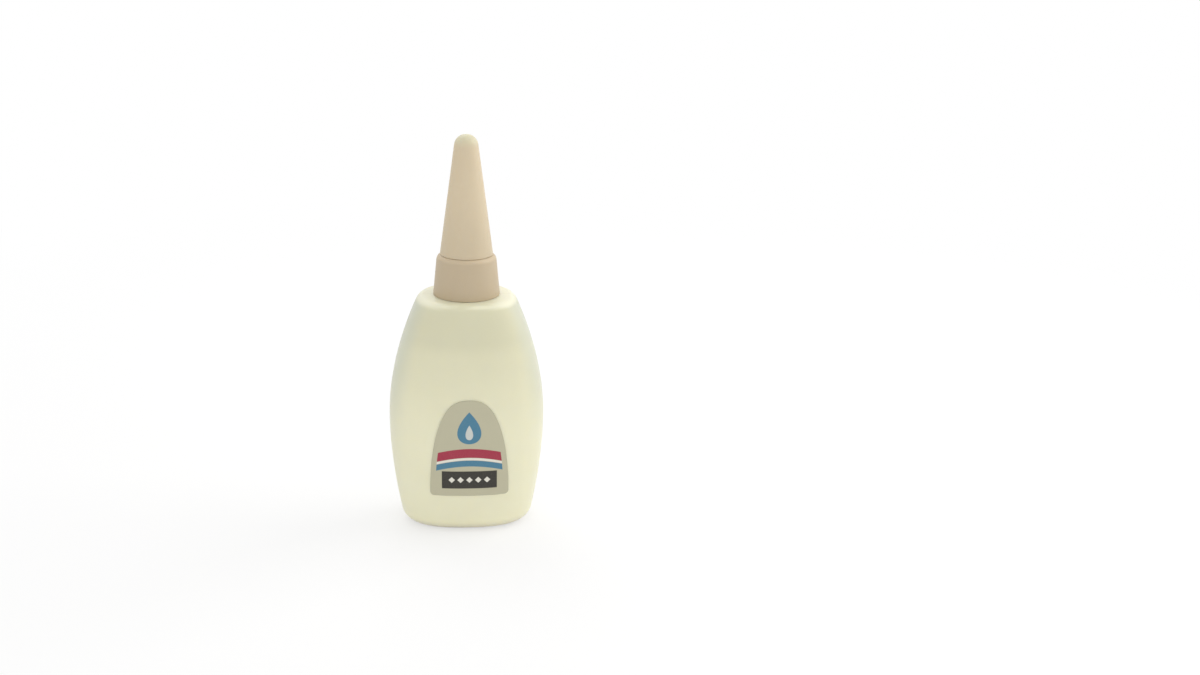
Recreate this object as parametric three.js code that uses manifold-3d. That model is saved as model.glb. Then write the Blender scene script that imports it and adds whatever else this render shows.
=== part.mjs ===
// Squeeze bottle of instant adhesive: a flat oval flask, a screw-on dropper nozzle and a push-on conical cap.
// Millimetres, +Z up. The origin is the centre of the base, and the label faces -Y.

import * as THREE from 'three';
import { LoftGeometry } from 'three/addons/geometries/LoftGeometry.js';
import { mergeVertices } from 'three/addons/utils/BufferGeometryUtils.js';
import Module from 'manifold-3d';

// Flask
const BELLY_WIDTH = 46;
const BELLY_DEPTH = 28;
const BELLY_HEIGHT = 33.5; // height of the widest section
const BASE_WIDTH = 37.8; // the wall's width carried down to the table, before the corner is rounded
const BASE_DEPTH = 24.4;
const BASE_CORNER = 4.2;
const SHOULDER_HEIGHT = 71; // the deck that the neck stands on
const SHOULDER_SIDE_LEDGE = 4.35; // reach of the shoulder past the collar, before its corner is rounded
const SHOULDER_FRONT_LEDGE = 3.6;
const SHOULDER_CORNER = 1.8;
const SECTION_POWER = 2.4; // 2 is an ellipse, and higher is squarer
const LOWER_POWER = 1.9; // how gently the wall leaves the belly, below and above it
const UPPER_POWER = 1.9;
const BODY_WALL = 1.1;
const PUSH_UP_DEPTH = 1.2; // hollow under the base, inside the ring that stands on the table
const PUSH_UP_DRAFT = 0.5;
const FOOT_WIDTH = 2.4;

// Liquid
const HEADSPACE = 12.3; // air between the liquid and the shoulder
const FILL_CLEARANCE = 0.3;

// Screw neck
const NECK_RADIUS = 6.45;
const NECK_WALL = 1.65;
const NECK_HEIGHT = 9.5;
const NECK_FILLET = 0.5;
const RIM_CHAMFER = 0.3;
const THREAD_PITCH = 2.1;
const THREAD_DEPTH = 0.75;
const THREAD_CREST = 0.45;
const THREAD_START = 2.6; // height of the neck's first ridge above the shoulder
const THREAD_SINK = 0.3; // how deep a ridge is rooted in its wall
const THREAD_CLEARANCE = 0.3;
const NECK_TURNS = 1.5;
const SKIRT_TURNS = 1.25;

// Seals
const FOIL_THICKNESS = 0.15;
const WASHER_THICKNESS = 1;
const WASHER_RING = 3; // width of the ring from its hole to its rim
const WASHER_CLEARANCE = 0.3; // inside the collar
const SEAL_GAP = 0.05;

// Nozzle
const COLLAR_GAP = 0.4; // between the collar and the shoulder
const COLLAR_WALL = 1.05; // at its top
const COLLAR_FLARE = 1.15; // how much wider it is at its foot
const COLLAR_EDGE = 1.4;
const DECK_THICKNESS = 1.2;
const SEAT_RADIUS = 6.1; // plug that the cap is pushed on to
const SEAT_HEIGHT = 5;
const SEAT_LEDGE = 0.8;
const SPOUT_HEIGHT = 30.7; // from the collar's top to the tip
const SPOUT_WALL = 1.2;
const TIP_WALL = 0.8;

// Cap and its pin
const CAP_GAP = 0.3; // between the cap and the collar
const CAP_CLEARANCE = 0.3; // between the cap and its seat
const CAP_TIP_CLEARANCE = 0.4; // beside the spout's tip
const CAP_TIP_GAP = 0.5; // above the spout's tip
const CAP_WALL = 1.25;
const CAP_EDGE = 0.6;
const CAP_TIP_SOLID = 3.5; // solid end that holds the pin
const CAP_DOME = 2.8;
const PIN_RADIUS = 0.35;
const PIN_LENGTH = 12;
const PIN_CLEARANCE = 0.35; // in the spout's bore
const PIN_FIT = 0.05; // in the cap's socket
const PIN_SOCKET = 2.4;

// Label
const LABEL_WIDTH = 23;
const LABEL_HEIGHT = 30.5;
const LABEL_BOTTOM = 12.5;
const LABEL_OFFSET = 0.7; // it is stuck on a little to the right of the middle
const LABEL_CORNER = 1.2;
const LABEL_ARCH_POWER = 2.2; // how soon the sides lean in: a half ellipse has 2
const LABEL_ARCH_EASE = 0.38; // how blunt the top is: a half ellipse has 0.5
const LABEL_THICKNESS = 0.2;
const LABEL_GAP = 0.12;

// Facets
const RING_POINTS = 40;
const WALL_RINGS = 10;
const CORNER_RINGS = 4;
const LATHE_SIDES = 32;
const ARC_STEPS = 2;
const THREAD_STEPS = 24; // in one turn
const THREAD_FADE_STEPS = 3; // over which a ridge rises at its ends
const LABEL_COLUMNS = 10;
const LABEL_ROWS = 10;
const WELD = 1e-4;

// Radii and heights that follow from the sizes above
const neckBoreRadius = NECK_RADIUS - NECK_WALL;
const rimHeight = SHOULDER_HEIGHT + NECK_HEIGHT;
const neckThreadStart = SHOULDER_HEIGHT + THREAD_START;
const skirtRadius = NECK_RADIUS + THREAD_DEPTH + THREAD_CLEARANCE;
const collarTopRadius = skirtRadius + COLLAR_WALL;
const collarFootRadius = collarTopRadius + COLLAR_FLARE;
const shoulderWidth = 2 * (collarFootRadius + SHOULDER_SIDE_LEDGE);
const shoulderDepth = 2 * (collarFootRadius + SHOULDER_FRONT_LEDGE);
const cavityFloor = PUSH_UP_DEPTH + BODY_WALL;
const cavityCeiling = SHOULDER_HEIGHT - BODY_WALL;
const fillLevel = cavityCeiling - HEADSPACE;
const foilBottom = rimHeight + SEAL_GAP;
const washerBottom = foilBottom + FOIL_THICKNESS + SEAL_GAP;
const deckUnderside = washerBottom + WASHER_THICKNESS + SEAL_GAP;
const collarFoot = SHOULDER_HEIGHT + COLLAR_GAP;
const collarTop = deckUnderside + DECK_THICKNESS;
const spoutTip = collarTop + SPOUT_HEIGHT;
const spoutTipBore = PIN_RADIUS + PIN_CLEARANCE;
const spoutTipRadius = spoutTipBore + TIP_WALL;
const capFoot = collarTop + CAP_GAP;
const capCeiling = spoutTip + CAP_TIP_GAP;
const capTop = capCeiling + CAP_TIP_SOLID;

const wasm = await Module();
wasm.setup();

// Joins the corners that triangles share, and drops the slivers that a turned profile leaves on its axis.
function weld(geometry) {
  const bare = new THREE.BufferGeometry();
  bare.setAttribute('position', geometry.getAttribute('position'));
  bare.setIndex(geometry.getIndex());
  const welded = mergeVertices(bare, WELD);
  const corners = welded.getIndex().array;
  const kept = [];
  for (let i = 0; i < corners.length; i += 3) {
    const [a, b, c] = corners.subarray(i, i + 3);
    if (a !== b && b !== c && c !== a) kept.push(a, b, c);
  }
  welded.setIndex(kept);
  return welded;
}

function toSolid(welded) {
  return new wasm.Manifold(new wasm.Mesh({
    numProp: 3,
    vertProperties: new Float32Array(welded.getAttribute('position').array),
    triVerts: new Uint32Array(welded.getIndex().array),
  }));
}

function toGeometry(solid) {
  const { vertProperties, triVerts } = solid.getMesh();
  const geometry = new THREE.BufferGeometry();
  geometry.setAttribute('position', new THREE.BufferAttribute(vertProperties, 3));
  geometry.setIndex(new THREE.BufferAttribute(triVerts, 1));
  geometry.computeVertexNormals();
  return geometry;
}

// Turns a profile of (radius, height) points about the Z axis.
function turn(profile) {
  return weld(new THREE.LatheGeometry(profile.getPoints(ARC_STEPS), LATHE_SIDES).rotateX(Math.PI / 2));
}

function loft(sections) {
  return weld(new LoftGeometry(sections, { closed: true, capStart: true, capEnd: true }));
}

// Half the flask's width or depth at a height: full at the belly, drawn in to the base and to the shoulder.
function wallHalf(z, base, belly, shoulder) {
  const below = z < BELLY_HEIGHT;
  const end = below ? base : shoulder;
  const reach = below ? BELLY_HEIGHT - z : z - BELLY_HEIGHT;
  const span = below ? BELLY_HEIGHT : SHOULDER_HEIGHT - BELLY_HEIGHT;
  const power = below ? LOWER_POWER : UPPER_POWER;
  return (belly - (belly - end) * (reach / span) ** power) / 2;
}

const halfWidth = (z) => wallHalf(z, BASE_WIDTH, BELLY_WIDTH, shoulderWidth);
const halfDepth = (z) => wallHalf(z, BASE_DEPTH, BELLY_DEPTH, shoulderDepth);

// One ring of the flask's squared oval, drawn in from its outer wall by an inset.
function ovalRing(z, inset) {
  const soften = (value) => Math.sign(value) * Math.abs(value) ** (2 / SECTION_POWER);
  return Array.from({ length: RING_POINTS }, (_, i) => {
    const angle = (2 * Math.PI * i) / RING_POINTS;
    const x = (halfWidth(z) - inset) * soften(Math.cos(angle));
    const y = (halfDepth(z) - inset) * soften(Math.sin(angle));
    return new THREE.Vector3(x, y, z);
  });
}

function onCircle(radius, angle, z) {
  return new THREE.Vector3(radius * Math.cos(angle), radius * Math.sin(angle), z);
}

function roundRing(z, radius) {
  return Array.from({ length: RING_POINTS }, (_, i) => onCircle(radius, (2 * Math.PI * i) / RING_POINTS, z));
}

// Rings up the flask from a floor, round its lower corner, to a height on the straight of the wall.
// The ring nearest to the belly moves on to it, so that the widest section has its full size.
function cornerAndWall(floor, corner, inset, top) {
  const rings = [];
  for (let i = 0; i < CORNER_RINGS; i++) {
    const angle = (Math.PI / 2) * (i / CORNER_RINGS);
    rings.push(ovalRing(floor + corner * (1 - Math.cos(angle)), inset + corner * (1 - Math.sin(angle))));
  }
  const bottom = floor + corner;
  const step = (top - bottom) / WALL_RINGS;
  for (let i = 0; i <= WALL_RINGS; i++) {
    const z = bottom + step * i;
    const inside = i > 0 && i < WALL_RINGS;
    const atBelly = inside && Math.abs(z - BELLY_HEIGHT) < step / 2;
    rings.push(ovalRing(atBelly ? BELLY_HEIGHT : z, inset));
  }
  return rings;
}

// Rings over the shoulder, from the end of the wall in to the flat deck.
function shoulder(deck, corner, inset) {
  return Array.from({ length: CORNER_RINGS }, (_, i) => {
    const angle = (Math.PI / 2) * ((i + 1) / CORNER_RINGS);
    return ovalRing(deck - corner * (1 - Math.sin(angle)), inset + corner * (1 - Math.cos(angle)));
  });
}

// A helical ridge that climbs one pitch a turn, rooted in a wall and rising from it at both ends.
function threadRidge(rootRadius, crestRadius, start, turns) {
  const inward = Math.sign(rootRadius - crestRadius);
  const sunk = rootRadius + inward * THREAD_SINK;
  const steps = Math.round(turns * THREAD_STEPS);
  const sections = [];
  for (let i = 0; i <= steps; i++) {
    const angle = (2 * Math.PI * i) / THREAD_STEPS;
    const z = start + (THREAD_PITCH * i) / THREAD_STEPS;
    const full = Math.min(1, i / THREAD_FADE_STEPS, (steps - i) / THREAD_FADE_STEPS);
    const crest = THREE.MathUtils.lerp((sunk + rootRadius) / 2, crestRadius, full);
    const corner = (radius, rise) => onCircle(radius, angle, z + rise);
    const section = [
      corner(sunk, -THREAD_PITCH / 4),
      corner(sunk, THREAD_PITCH / 4),
      corner(crest, THREAD_CREST / 2),
      corner(crest, -THREAD_CREST / 2),
    ];
    sections.push(inward < 0 ? section : section.reverse());
  }
  return loft(sections);
}

// Flask: outer skin with its neck, less the cavity, the neck's bore and the hollow under the base
function bottleBody() {
  const outside = [
    ...cornerAndWall(0, BASE_CORNER, 0, SHOULDER_HEIGHT - SHOULDER_CORNER),
    ...shoulder(SHOULDER_HEIGHT, SHOULDER_CORNER, 0),
    roundRing(SHOULDER_HEIGHT, NECK_RADIUS + NECK_FILLET),
    roundRing(SHOULDER_HEIGHT + NECK_FILLET, NECK_RADIUS),
    roundRing(rimHeight - RIM_CHAMFER, NECK_RADIUS),
    roundRing(rimHeight, NECK_RADIUS - RIM_CHAMFER),
  ];
  const innerBaseCorner = BASE_CORNER - BODY_WALL;
  const innerShoulderCorner = SHOULDER_CORNER - BODY_WALL;
  const inside = [
    ...cornerAndWall(cavityFloor, innerBaseCorner, BODY_WALL, cavityCeiling - innerShoulderCorner),
    ...shoulder(cavityCeiling, innerShoulderCorner, BODY_WALL),
    roundRing(cavityCeiling, neckBoreRadius),
    roundRing(rimHeight + NECK_HEIGHT, neckBoreRadius),
  ];
  const footInset = BASE_CORNER + FOOT_WIDTH;
  const pushUp = [
    ovalRing(-PUSH_UP_DEPTH, footInset - PUSH_UP_DRAFT),
    ovalRing(PUSH_UP_DEPTH, footInset + PUSH_UP_DRAFT),
  ];
  const ridge = threadRidge(NECK_RADIUS, NECK_RADIUS + THREAD_DEPTH, neckThreadStart, NECK_TURNS);
  const shell = toSolid(loft(outside)).subtract(toSolid(loft(inside)));
  return toGeometry(shell.subtract(toSolid(loft(pushUp))).add(toSolid(ridge)));
}

// Liquid: the cavity's own shape, a little smaller, with a level top
function adhesiveFill() {
  const corner = BASE_CORNER - BODY_WALL - FILL_CLEARANCE;
  return loft(cornerAndWall(cavityFloor + FILL_CLEARANCE, corner, BODY_WALL + FILL_CLEARANCE, fillLevel));
}

// Foil: a disc across the neck's rim
function foilSeal() {
  const radius = NECK_RADIUS - RIM_CHAMFER;
  const profile = new THREE.Path();
  profile.moveTo(0, foilBottom);
  profile.lineTo(radius, foilBottom);
  profile.lineTo(radius, foilBottom + FOIL_THICKNESS);
  profile.lineTo(0, foilBottom + FOIL_THICKNESS);
  return turn(profile);
}

// Washer: a soft ring held in the collar, under the nozzle's deck
function sealingWasher() {
  const outer = skirtRadius - WASHER_CLEARANCE;
  const inner = outer - WASHER_RING;
  const profile = new THREE.Path();
  profile.moveTo(inner, washerBottom);
  profile.lineTo(outer, washerBottom);
  profile.lineTo(outer, washerBottom + WASHER_THICKNESS);
  profile.lineTo(inner, washerBottom + WASHER_THICKNESS);
  profile.lineTo(inner, washerBottom);
  return turn(profile);
}

// Inside of the cap: a straight taper from its foot to the ceiling over the spout's tip
function capInnerRadius(z) {
  const foot = SEAT_RADIUS + CAP_CLEARANCE;
  const ceiling = spoutTipRadius + CAP_TIP_CLEARANCE;
  return THREE.MathUtils.mapLinear(z, capFoot, capCeiling, foot, ceiling);
}

// Nozzle: threaded collar, tapered seat for the cap, and spout with a bore that narrows to the tip
function dropperNozzle() {
  const seatTop = collarTop + SEAT_HEIGHT;
  const seatRadius = (z) => capInnerRadius(z) - CAP_CLEARANCE;
  const spoutRadius = seatRadius(seatTop) - SEAT_LEDGE;
  const profile = new THREE.Path();
  profile.moveTo(skirtRadius, collarFoot);
  profile.lineTo(collarFootRadius, collarFoot);
  profile.lineTo(collarTopRadius, collarTop - COLLAR_EDGE);
  profile.absarc(collarTopRadius - COLLAR_EDGE, collarTop - COLLAR_EDGE, COLLAR_EDGE, 0, Math.PI / 2, false);
  profile.lineTo(seatRadius(collarTop), collarTop);
  profile.lineTo(seatRadius(seatTop), seatTop);
  profile.lineTo(spoutRadius, seatTop);
  profile.lineTo(spoutTipRadius, spoutTip);
  profile.lineTo(spoutTipBore, spoutTip);
  profile.lineTo(spoutRadius - SPOUT_WALL, deckUnderside);
  profile.lineTo(skirtRadius, deckUnderside);
  profile.lineTo(skirtRadius, collarFoot);
  const skirtThreadStart = neckThreadStart - THREAD_PITCH / 2;
  const ridge = threadRidge(skirtRadius, NECK_RADIUS + THREAD_CLEARANCE, skirtThreadStart, SKIRT_TURNS);
  return toGeometry(toSolid(turn(profile)).add(toSolid(ridge)));
}

// Cap: a plain cone with a domed end, hollow but for the end that holds the pin
function coneCap() {
  const outerRadius = (z) => capInnerRadius(z) + CAP_WALL;
  const domeFoot = capTop - CAP_DOME;
  const socketRadius = PIN_RADIUS + PIN_FIT;
  const profile = new THREE.Path();
  profile.moveTo(0, capCeiling + PIN_SOCKET);
  profile.lineTo(socketRadius, capCeiling + PIN_SOCKET);
  profile.lineTo(socketRadius, capCeiling);
  profile.lineTo(capInnerRadius(capCeiling), capCeiling);
  profile.lineTo(capInnerRadius(capFoot), capFoot);
  profile.lineTo(outerRadius(capFoot) - CAP_EDGE, capFoot);
  profile.absarc(outerRadius(capFoot) - CAP_EDGE, capFoot + CAP_EDGE, CAP_EDGE, -Math.PI / 2, 0, false);
  profile.lineTo(outerRadius(domeFoot), domeFoot);
  profile.absellipse(0, domeFoot, outerRadius(domeFoot), CAP_DOME, 0, Math.PI / 2, false);
  return turn(profile);
}

// Pin: pressed up into the cap's socket, with its lower end in the spout's bore
function antiClogPin() {
  const top = capCeiling + PIN_SOCKET - PIN_FIT;
  const bottom = top - PIN_LENGTH;
  const profile = new THREE.Path();
  profile.moveTo(0, bottom);
  profile.lineTo(PIN_RADIUS, bottom + PIN_RADIUS);
  profile.lineTo(PIN_RADIUS, top);
  profile.lineTo(0, top);
  return turn(profile);
}

// Label: an arch-topped sheet that follows the curve of the flask's front
function frontLabel() {
  const frontFace = (x, z) => {
    const across = Math.abs(x / halfWidth(z)) ** SECTION_POWER;
    return -halfDepth(z) * (1 - across) ** (1 / SECTION_POWER);
  };
  const archHalfWidth = (h) => {
    const left = 1 - (h / LABEL_HEIGHT) ** LABEL_ARCH_POWER;
    return (LABEL_WIDTH / 2) * left ** LABEL_ARCH_EASE;
  };
  const rows = [];
  for (let i = 0; i < CORNER_RINGS; i++) {
    const angle = (Math.PI / 2) * (i / CORNER_RINGS);
    const h = LABEL_CORNER * (1 - Math.cos(angle));
    rows.push([h, archHalfWidth(h) - LABEL_CORNER * (1 - Math.sin(angle))]);
  }
  for (let i = 0; i < LABEL_ROWS; i++) {
    const rise = Math.sin((Math.PI / 2) * (i / LABEL_ROWS)) ** (2 / LABEL_ARCH_POWER);
    const h = LABEL_CORNER + (LABEL_HEIGHT - LABEL_CORNER) * rise;
    rows.push([h, archHalfWidth(h)]);
  }
  const sections = rows.map(([h, half]) => {
    const z = LABEL_BOTTOM + h;
    const column = (i) => LABEL_OFFSET + half * ((2 * i) / LABEL_COLUMNS - 1);
    const across = Array.from({ length: LABEL_COLUMNS + 1 }, (_, i) => column(i));
    const front = across.map((x) => new THREE.Vector3(x, frontFace(x, z) - LABEL_GAP - LABEL_THICKNESS, z));
    const back = across.map((x) => new THREE.Vector3(x, frontFace(x, z) - LABEL_GAP, z)).reverse();
    return [...front, ...back];
  });
  return loft(sections);
}

function addPiece(group, name, geometry, color, roughness, metalness = 0) {
  const mesh = new THREE.Mesh(geometry, new THREE.MeshStandardMaterial({ color, roughness, metalness }));
  mesh.name = name;
  group.add(mesh);
}

const bottle = new THREE.Group();
addPiece(bottle, 'bottle_body', bottleBody(), 0xe2dfc4, 0.4);
addPiece(bottle, 'adhesive_fill', adhesiveFill(), 0xe8e4c8, 0.1);
addPiece(bottle, 'foil_seal', foilSeal(), 0xc8c9cb, 0.35, 0.9);
addPiece(bottle, 'sealing_washer', sealingWasher(), 0xf0efe9, 0.8);
addPiece(bottle, 'dropper_nozzle', dropperNozzle(), 0xd6c7a8, 0.45);
addPiece(bottle, 'cone_cap', coneCap(), 0xd6c7a8, 0.45);
addPiece(bottle, 'anti_clog_pin', antiClogPin(), 0xb9bcc0, 0.3, 0.9);
addPiece(bottle, 'front_label', frontLabel(), 0xb8b49a, 0.7);

export default bottle;
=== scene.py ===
"""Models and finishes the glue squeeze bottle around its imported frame.

Sizes are in metres, +Z is up and the label faces -Y.
"""

import math

import bmesh
import bpy
from bpy.props import FloatProperty, FloatVectorProperty, IntProperty, PointerProperty
from mathutils import Color, Euler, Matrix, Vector


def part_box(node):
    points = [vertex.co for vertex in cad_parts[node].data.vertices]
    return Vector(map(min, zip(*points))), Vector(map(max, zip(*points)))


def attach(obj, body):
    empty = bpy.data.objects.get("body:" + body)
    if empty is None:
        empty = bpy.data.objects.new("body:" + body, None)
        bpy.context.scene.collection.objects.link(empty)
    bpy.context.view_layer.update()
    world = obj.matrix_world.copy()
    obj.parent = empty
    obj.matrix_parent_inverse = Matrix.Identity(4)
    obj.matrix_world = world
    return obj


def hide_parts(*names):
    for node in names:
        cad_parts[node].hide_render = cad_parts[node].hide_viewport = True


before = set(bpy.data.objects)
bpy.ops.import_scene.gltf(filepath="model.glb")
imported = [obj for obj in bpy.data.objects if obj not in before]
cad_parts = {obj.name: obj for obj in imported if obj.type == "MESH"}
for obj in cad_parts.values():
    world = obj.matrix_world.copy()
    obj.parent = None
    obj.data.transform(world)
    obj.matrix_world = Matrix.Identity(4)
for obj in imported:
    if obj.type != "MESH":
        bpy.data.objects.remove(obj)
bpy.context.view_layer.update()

bl_info = {
    "name": "Glue squeeze bottle",
    "version": (1, 0, 0),
    "blender": (4, 5, 0),
    "location": "View3D > Sidebar > Glue bottle",
    "description": "Models a squeeze bottle of instant adhesive, with its finishes and a small studio",
    "category": "Object",
}

MM = 0.001
WELD = 0.001 * MM
TOUCH = 0.01 * MM
ORIGIN = (0, 0, 0)
QUARTER_TURN = math.pi / 2
SMOOTH_ANGLE = math.radians(32)
OVAL_TOLERANCE = 0.02
FULL_LEVEL = 255
PHOTO_WIDTH = 1200
PHOTO_HEIGHT = 675
SENSOR_WIDTH = 36
NEAR_CLIP = 10 * MM
FLOOR_SIZE = 12
WHITE_LIGHT = (1, 1, 1)
WHITE = (*WHITE_LIGHT, 1)

FLASK_LOW, FLASK_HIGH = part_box("bottle_body")
FILL_LOW, FILL_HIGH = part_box("adhesive_fill")
FOIL_LOW, FOIL_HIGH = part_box("foil_seal")
WASHER_LOW, WASHER_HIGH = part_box("sealing_washer")
NOZZLE_LOW, NOZZLE_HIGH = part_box("dropper_nozzle")
CAP_LOW, CAP_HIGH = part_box("cone_cap")
PIN_LOW, PIN_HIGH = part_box("anti_clog_pin")
LABEL_LOW, LABEL_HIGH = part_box("front_label")


def length(name, description, default):
    """A size in metres."""
    return FloatProperty(
        name=name, description=description, default=default, precision=5, unit="LENGTH", subtype="DISTANCE"
    )


def angle(name, description, degrees):
    """An angle, written in degrees and kept in radians."""
    return FloatProperty(
        name=name, description=description, default=math.radians(degrees), unit="ROTATION", subtype="ANGLE"
    )


def number(name, description, default):
    """A plain number, such as a power or a share."""
    return FloatProperty(name=name, description=description, default=default, precision=3)


def count(name, description, default):
    """A whole number, such as how many facets."""
    return IntProperty(name=name, description=description, default=default)


def watts(name, description, default):
    """The power of a lamp."""
    return FloatProperty(name=name, description=description, default=default, unit="POWER")


def colour(name, description, red, green, blue):
    """A colour, written in the 8-bit values of a screen and kept as light."""
    screen = Color((red / FULL_LEVEL, green / FULL_LEVEL, blue / FULL_LEVEL))
    light = tuple(screen.from_srgb_to_scene_linear())
    return FloatVectorProperty(
        name=name, description=description, default=light, min=0, max=1, subtype="COLOR"
    )


class FlaskSizes(bpy.types.PropertyGroup):
    """Sizes of the blow-moulded flask and of the glue in it"""

    belly_width: length("Belly width", "Width of the widest section", FLASK_HIGH.x - FLASK_LOW.x)
    belly_depth: length("Belly depth", "Depth of the widest section", FLASK_HIGH.y - FLASK_LOW.y)
    belly_height: length("Belly height", "Height of the widest section", 33.5 * MM)
    base_width: length("Base width", "Width of the wall carried down to the table", 37.8 * MM)
    base_depth: length("Base depth", "Depth of the wall carried down to the table", 24.4 * MM)
    base_corner: length("Base corner", "Radius between the base and the wall", 4.2 * MM)
    shoulder_height: length("Shoulder height", "Height of the deck that the neck stands on", 71 * MM)
    side_ledge: length("Side ledge", "Reach of the shoulder past the collar at the sides", 4.35 * MM)
    front_ledge: length("Front ledge", "Reach of the shoulder past the collar at the front", 3.6 * MM)
    shoulder_corner: length("Shoulder corner", "Radius between the wall and the deck", 1.8 * MM)
    deck_crown: length("Deck crown", "Rise of the deck from its edge to the neck", 0.06 * MM)
    section_power: number("Section power", "2 is an ellipse, and higher is squarer", 2.4)
    lower_power: number("Lower power", "How gently the wall leaves the belly below it", 1.9)
    upper_power: number("Upper power", "How gently the wall leaves the belly above it", 1.9)
    wall: length("Wall", "Thickness of the flask's wall", 1.1 * MM)
    push_up_depth: length("Push-up depth", "Depth of the hollow under the base", 1.2 * MM)
    push_up_draft: length("Push-up draft", "Slope of the hollow's side", 0.5 * MM)
    foot_width: length("Foot width", "Width of the ring that stands on the table", 2.4 * MM)
    foot_round: length("Foot round", "Rounding at the edges of the hollow", 0.4 * MM)
    seam_width: length("Seam width", "Half the width of the parting line on the sides", 0.24 * MM)
    seam_height: length("Seam height", "Rise of the parting line", 0.11 * MM)
    pinch_length: length("Pinch length", "Length of the pinched line under the base", 15 * MM)
    pinch_width: length("Pinch width", "Width of the pinched line under the base", 0.9 * MM)
    pinch_height: length("Pinch height", "Height of the pinched line under the base", 0.4 * MM)
    pinch_end: number("Pinch end", "Length of the pinched line's edge, as a share of its root", 0.97)
    pinch_edge: number("Pinch edge", "Width of the pinched line's edge, as a share of its root", 0.5)
    fill_clearance: length("Fill clearance", "Gap between the glue and the wall", 0.3 * MM)
    meniscus: length("Meniscus", "Climb of the glue's surface at the wall", 0.5 * MM)
    meniscus_rings: count("Meniscus rings", "Rings in the turned-up edge of the glue", 5)
    oval_segments: count("Oval segments", "Facets in a quarter of the oval", 24)
    wall_rings: count("Wall rings", "Rings up the straight of the wall", 44)
    corner_rings: count("Corner rings", "Rings round a corner", 9)
    foot_segments: count("Foot segments", "Facets in the rounding of the hollow's edges", 4)


class NeckSizes(bpy.types.PropertyGroup):
    """Sizes of the screw neck and of the threads"""

    radius: length("Neck radius", "Outer radius of the neck", 6.45 * MM)
    wall: length("Neck wall", "Thickness of the neck's wall", 1.65 * MM)
    fillet: length("Neck fillet", "Rounding between the neck and the deck", 0.5 * MM)
    fillet_share: number("Fillet share", "How much of the corner the fillet takes", 0.99)
    rim_round: length("Rim round", "Rounding of the rim's edges", 0.3 * MM)
    pitch: length("Thread pitch", "Climb of the thread in one turn", 2.1 * MM)
    depth: length("Thread depth", "Height of a thread's crest above the neck", 0.75 * MM)
    crest: length("Thread crest", "Width of a thread's crest", 0.45 * MM)
    start: length("Thread start", "Height of the first ridge above the deck", 2.6 * MM)
    sink: length("Thread sink", "How deep a ridge is rooted in its wall", 0.3 * MM)
    clearance: length("Thread clearance", "Gap between the two threads", 0.3 * MM)
    neck_turns: number("Neck turns", "Turns of the neck's thread", 1.5)
    collar_turns: number("Collar turns", "Turns of the collar's thread", 1.25)
    steps: count("Thread steps", "Steps in one turn of a thread", 48)
    fade_steps: count("Fade steps", "Steps over which a ridge rises at its ends", 6)


class ClosureSizes(bpy.types.PropertyGroup):
    """Sizes of the nozzle, the cap and its pin"""

    collar_wall: length("Collar wall", "Thickness of the collar at its top", 1.05 * MM)
    collar_flare: length("Collar flare", "How much wider the collar is at its foot", 1.15 * MM)
    collar_edge: length("Collar edge", "Rounding of the collar's top edge", 1.4 * MM)
    seal_gap: length("Seal gap", "Gap over the washer", 0.05 * MM)
    cap_gap: length("Cap gap", "Gap between the cap and the collar in the frame", 0.3 * MM)
    seat_gap: length("Seat gap", "Gap under the collar where it rests on the deck", 0.08 * MM)
    cap_seat: length("Cap seat", "Gap under the cap where it rests on the collar", 0.03 * MM)
    seat_radius: length("Seat radius", "Radius of the plug that the cap is pushed on to", 6.1 * MM)
    seat_height: length("Seat height", "Height of that plug", 5 * MM)
    seat_ledge: length("Seat ledge", "Step between the plug and the spout", 0.8 * MM)
    spout_wall: length("Spout wall", "Thickness of the spout at its root", 1.2 * MM)
    tip_wall: length("Tip wall", "Thickness of the spout at its tip", 0.8 * MM)
    cap_clearance: length("Cap clearance", "Gap between the cap and its seat", 0.3 * MM)
    cap_tip_clearance: length("Cap tip clearance", "Gap beside the spout's tip", 0.4 * MM)
    cap_tip_gap: length("Cap tip gap", "Gap above the spout's tip", 0.5 * MM)
    cap_wall: length("Cap wall", "Thickness of the cap", 1.25 * MM)
    cap_edge: length("Cap edge", "Rounding of the cap's lower edge", 0.15 * MM)
    cap_dome: length("Cap dome", "Rounding of the cap's end", 2.8 * MM)
    pin_clearance: length("Pin clearance", "Gap round the pin in the spout's bore", 0.35 * MM)
    pin_fit: length("Pin fit", "Gap round the pin in the cap's socket", 0.05 * MM)
    edge_round: length("Edge round", "Rounding of the small moulded edges", 0.2 * MM)
    sides: count("Sides", "Facets round a turned piece", 100)
    round_segments: count("Round segments", "Facets in a rounded edge", 5)
    dome_segments: count("Dome segments", "Facets in the cap's domed end", 14)


class LabelSizes(bpy.types.PropertyGroup):
    """Sizes of the front label and of its print"""

    corner: length("Corner", "Radius of the lower corners", 1.2 * MM)
    arch_power: number("Arch power", "How soon the sides lean in, where a half ellipse has 2", 2.2)
    arch_ease: number("Arch ease", "How blunt the top is, where a half ellipse has 0.5", 0.38)
    thickness: length("Thickness", "Thickness of the label", 0.14 * MM)
    gap: length("Gap", "Thickness of the glue behind the label", 0.06 * MM)
    columns: count("Columns", "Facets across the label", 40)
    rows: count("Rows", "Facets up the label", 44)


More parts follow.
